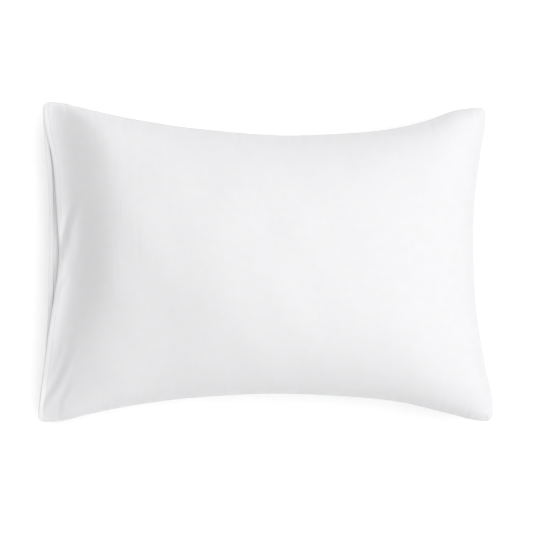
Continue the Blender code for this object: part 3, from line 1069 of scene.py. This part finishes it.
def make_pillow(material, sizes):
    """The filled pillow, whose end shows a little in the mouth. Its two faces share their rim."""
    inset = PILLOW_INSET / CASE_WIDTH
    end = 1 - PILLOW_INSET / CASE_LENGTH
    along = PILLOW_START + (end - PILLOW_START) * closing(PILLOW_ROWS)
    across = inset + (1 - 2 * inset) * closing(PILLOW_CROSS_ROWS)
    u, v = np.meshgrid(along, across, indexing="ij")
    upper = pillow_surface(u, v, True, sizes)
    lower = pillow_surface(u, v, False, sizes)
    rim = np.zeros(u.shape, dtype=bool)
    rim[0] = rim[-1] = rim[:, 0] = rim[:, -1] = True
    upper[rim] = (upper[rim] + lower[rim]) / 2
    top = np.arange(u.size).reshape(u.shape)
    bottom = top.copy()
    bottom[~rim] = u.size + np.arange(np.count_nonzero(~rim))
    verts = np.concatenate([upper.reshape(-1, 3), lower[~rim]])
    faces = grid_faces(top, False) + grid_faces(bottom, True)
    return add_piece("pillow_cover", verts, faces, None, material)


# ---------------------------------------------------------------- operators


class PILLOWCASE_OT_front_panel(bpy.types.Operator):
    """Make the front panel with its creases, gathers, seam puckers and stitched hem"""

    bl_idname = "pillowcase.front_panel"
    bl_label = "Front Panel"

    def execute(self, context):
        sizes = context.scene.case_sizes
        material = cotton_material("front cotton", context.scene.cotton_looks)
        panel = make_panel("front_cloth", front_surface, 1, PUCKER_SEED, material, sizes)
        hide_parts("front_panel")
        hem_lines("front", front_surface, 1, context)
        return {"FINISHED"}


class PILLOWCASE_OT_back_panel(bpy.types.Operator):
    """Make the back panel, which lies on the floor and shows its hem at the mouth"""

    bl_idname = "pillowcase.back_panel"
    bl_label = "Back Panel"

    def execute(self, context):
        sizes = context.scene.case_sizes
        material = cotton_material("back cotton", context.scene.cotton_looks)
        panel = make_panel("back_cloth", back_surface, -1, PUCKER_SEED + 1, material, sizes)
        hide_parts("back_panel")
        hem_lines("back", back_surface, -1, context)
        return {"FINISHED"}


def hem_lines(side_name, surface, up, context):
    """The stitch lines on the outer and inner face of one hem."""
    sizes = context.scene.case_sizes
    material = thread_material(side_name + " thread", context.scene.cotton_looks)
    lines = []
    for face, inner in (("outer", False), ("inner", True)):
        line = make_stitches(f"{side_name}_hem_{face}_stitches", surface, up, inner, material, sizes)
        lines.append(line)
    return lines


class PILLOWCASE_OT_pillow(bpy.types.Operator):
    """Make the pillow that fills the case"""

    bl_idname = "pillowcase.pillow"
    bl_label = "Pillow"

    def execute(self, context):
        material = ticking_material("pillow ticking", context.scene.pillow_looks)
        pillow = make_pillow(material, context.scene.case_sizes)
        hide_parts("pillow")
        return {"FINISHED"}


class PILLOWCASE_OT_studio(bpy.types.Operator):
    """Make the pale floor, the soft light and the camera over the pillow's face"""

    bl_idname = "pillowcase.studio"
    bl_label = "Studio"

    def execute(self, context):
        looks = context.scene.studio_looks
        make_floor(looks)
        make_light(looks)
        make_camera(looks)
        return {"FINISHED"}


# ---------------------------------------------------------------- studio

FLOOR_HALF = 14.0

# The camera sees the case as the photo does.
IMAGE_PIXELS = 533
PIXEL_SIZE = 0.001545
CAMERA_AIM = (0.0015, -0.0070, 0.055)
SENSOR_WIDTH = 36.0  # millimetres, as the lens


def make_floor(looks):
    """A wide plain floor."""
    mesh = bpy.data.meshes.new("floor")
    half = FLOOR_HALF
    mesh.from_pydata(
        [(-half, -half, 0), (half, -half, 0), (half, half, 0), (-half, half, 0)], [], [(0, 1, 2, 3)])
    mesh.materials.append(floor_material("pale floor", looks))
    floor = bpy.data.objects.new("floor", mesh)
    bpy.context.scene.collection.objects.link(floor)


def make_light(looks):
    """The soft light of a pale room: brightest overhead and on the right, dimmest on the left."""
    scene = bpy.context.scene
    scene.view_settings.view_transform = "Standard"
    scene.view_settings.look = "None"
    world = bpy.data.worlds.new("pale room")
    world.use_nodes = True
    tree = world.node_tree
    background = tree.nodes["Background"]
    background.inputs["Color"].default_value = (1.0, 1.0, 1.0, 1.0)
    direction = tree.nodes.new("ShaderNodeTexCoord")
    gain = tree.nodes.new("ShaderNodeVectorMath")
    gain.operation = "DOT_PRODUCT"
    gain.inputs[1].default_value = (looks.from_right, looks.from_top, looks.overhead)
    tree.links.new(direction.outputs["Generated"], gain.inputs[0])
    level = maths(tree, "MAXIMUM", maths(tree, "ADD", gain.outputs["Value"], looks.sky), 0.0)
    parts = tree.nodes.new("ShaderNodeSeparateXYZ")
    tree.links.new(direction.outputs["Generated"], parts.inputs["Vector"])
    height = tree.nodes.new("ShaderNodeMapRange")
    height.inputs["From Max"].default_value = looks.horizon
    tree.links.new(parts.outputs["Z"], height.inputs["Value"])
    strength = maths(tree, "MULTIPLY", level, height.outputs["Result"])
    tree.links.new(strength, background.inputs["Strength"])
    scene.world = world


def make_camera(looks):
    """A long lens straight over the face of the pillow."""
    data = bpy.data.cameras.new("camera")
    data.lens = looks.lens
    data.sensor_width = SENSOR_WIDTH
    data.clip_end = 100.0
    distance = IMAGE_PIXELS * PIXEL_SIZE * looks.lens / SENSOR_WIDTH
    camera = bpy.data.objects.new("camera", data)
    camera.location = Vector(CAMERA_AIM) + Vector((0, 0, distance))
    bpy.context.scene.collection.objects.link(camera)
    bpy.context.scene.camera = camera


# ---------------------------------------------------------------- panel and registration


class PILLOWCASE_PT_sidebar(bpy.types.Panel):
    """Sizes, colours and pieces of the pillowcase"""

    bl_idname = "PILLOWCASE_PT_sidebar"
    bl_label = "Pillowcase"
    bl_space_type = "VIEW_3D"
    bl_region_type = "UI"
    bl_category = "Pillowcase"

    def draw(self, context):
        scene = context.scene
        for group in (scene.case_sizes, scene.cotton_looks, scene.pillow_looks, scene.studio_looks):
            box = self.layout.box()
            for key in group.__annotations__:
                box.prop(group, key)
        for operator in OPERATORS:
            self.layout.operator(operator.bl_idname)


GROUPS = (
    ("case_sizes", CaseSizes),
    ("cotton_looks", CottonLooks),
    ("pillow_looks", PillowLooks),
    ("studio_looks", StudioLooks),
)
OPERATORS = (
    PILLOWCASE_OT_pillow,
    PILLOWCASE_OT_back_panel,
    PILLOWCASE_OT_front_panel,
    PILLOWCASE_OT_studio,
)


def register():
    for name, group in GROUPS:
        bpy.utils.register_class(group)
        setattr(bpy.types.Scene, name, bpy.props.PointerProperty(type=group))
    for operator in OPERATORS:
        bpy.utils.register_class(operator)
    bpy.utils.register_class(PILLOWCASE_PT_sidebar)


def unregister():
    bpy.utils.unregister_class(PILLOWCASE_PT_sidebar)
    for operator in reversed(OPERATORS):
        bpy.utils.unregister_class(operator)
    for name, group in reversed(GROUPS):
        delattr(bpy.types.Scene, name)
        bpy.utils.unregister_class(group)


def main():
    register()
    bpy.ops.pillowcase.pillow()
    bpy.ops.pillowcase.back_panel()
    bpy.ops.pillowcase.front_panel()
    bpy.ops.pillowcase.studio()


if __name__ == "__main__":
    main()
